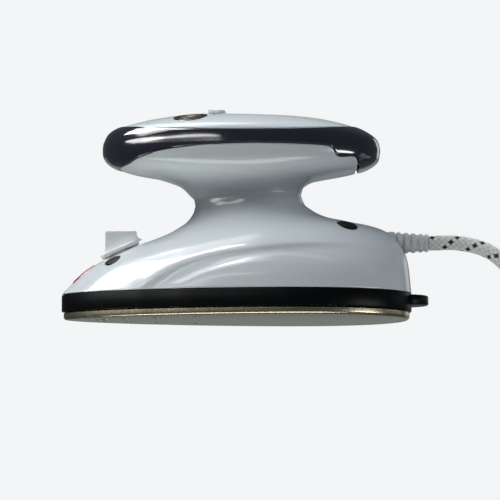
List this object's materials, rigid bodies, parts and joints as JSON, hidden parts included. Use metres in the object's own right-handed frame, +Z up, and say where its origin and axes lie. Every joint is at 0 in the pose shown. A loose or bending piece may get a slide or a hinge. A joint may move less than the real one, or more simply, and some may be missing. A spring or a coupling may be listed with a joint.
{
  "type": "travel iron",
  "caption": "Small travel steam iron with a pointed metal sole, a one-piece white body on a narrow neck, a wide oval handle, a filler stopper, a nose lens and a coiled braided lead.",
  "frame": {"origin": "on the resting plane under the middle of the iron's length and width, the free lead left out", "axes": "+Z up, +X along the iron from the nose to the heel, where the lead leaves, and -Y out of its left side"},
  "size_m": [0.2938, 0.0932, 0.0807],
  "materials": {
    "steel": "satin",
    "black_trim": "matt",
    "white_shell": "gloss",
    "dark_band": "high gloss",
    "cast_block": "as cast",
    "brass": "satin",
    "seal_rubber": "matt",
    "milky_silicone": "satin",
    "clear_plastic": "gloss",
    "red_lens": "gloss",
    "lamp_glass": "clear",
    "black_button": "satin",
    "smoked_ring": "gloss",
    "smoked_lever": "gloss",
    "pale_cap": "gloss",
    "grey_plastic": "matt",
    "board_green": "satin",
    "braided_cord": "woven",
    "plug_plastic": "satin"
  },
  "bodies": {
    "iron": {"soleplate": "steel", "base_skirt": "black_trim", "body_housing": "white_shell", "handle_band": "dark_band", "handle_cover": "white_shell", "heating_block": "cast_block", "heating_element": "steel", "chamber_gasket": "seal_rubber", "chamber_cover": "steel", "heat_shield": "steel", "thermostat": "brass", "thermal_fuse": "brass", "drip_valve": "brass", "water_tank": "clear_plastic", "filler_grommet": "seal_rubber", "pilot_lens": "red_lens", "pilot_lamp": "lamp_glass", "screw_cap_front_left": "black_trim", "screw_cap_front_right": "black_trim", "screw_cap_rear_left": "black_trim", "screw_cap_rear_right": "black_trim", "body_screw_front_left": "steel", "body_screw_front_right": "steel", "body_screw_rear_left": "steel", "body_screw_rear_right": "steel", "pump_cylinder": "clear_plastic", "pump_spring": "steel", "setting_ring_left": "smoked_ring", "setting_ring_right": "smoked_ring", "setting_switch_left": "black_trim", "setting_switch_right": "black_trim", "handle_frame": "grey_plastic", "circuit_board": "board_green", "suction_hose": "clear_plastic", "feed_hose": "clear_plastic", "terminal_block": "grey_plastic", "cord_clamp": "grey_plastic", "cord_strain_relief": "seal_rubber", "power_cord": "braided_cord", "cord_coil": "braided_cord", "plug_body": "plug_plastic", "plug_pin_left": "brass", "plug_pin_right": "brass"},
    "steam_button": {"steam_button": "black_button", "pump_rod": "grey_plastic"},
    "temperature": {"temperature_lever": "smoked_lever", "lever_tab": "pale_cap", "selector_shaft": "steel"},
    "stopper": {"filler_stopper": "milky_silicone"},
    "setting_left": {"setting_button_left": "pale_cap"},
    "setting_right": {"setting_button_right": "pale_cap"}
  },
  "joints": [
    {"name": "steam_press", "type": "slide", "parent": "iron", "child": "steam_button", "axis": [0, 0, -1], "range_m": [0, 0.0022], "stiffness_N_per_m": 700, "springref_m": -0.004, "deforming": ["pump_spring"]},
    {"name": "temperature_turn", "type": "hinge", "parent": "iron", "child": "temperature", "pos_m": [0, 0, 0.0775], "axis": [0, 0, 1], "range_deg": [-20, 20]},
    {"name": "stopper_pull", "type": "slide", "parent": "iron", "child": "stopper", "axis": [-0.4003, 0, 0.9164], "range_m": [0, 0.012]},
    {"name": "setting_press_left", "type": "slide", "parent": "iron", "child": "setting_left", "axis": [0, 0, -1], "range_m": [0, 0.001], "stiffness_N_per_m": 600, "springref_m": -0.002},
    {"name": "setting_press_right", "type": "slide", "parent": "iron", "child": "setting_right", "axis": [0, 0, -1], "range_m": [0, 0.001], "stiffness_N_per_m": 600, "springref_m": -0.002}
  ]
}
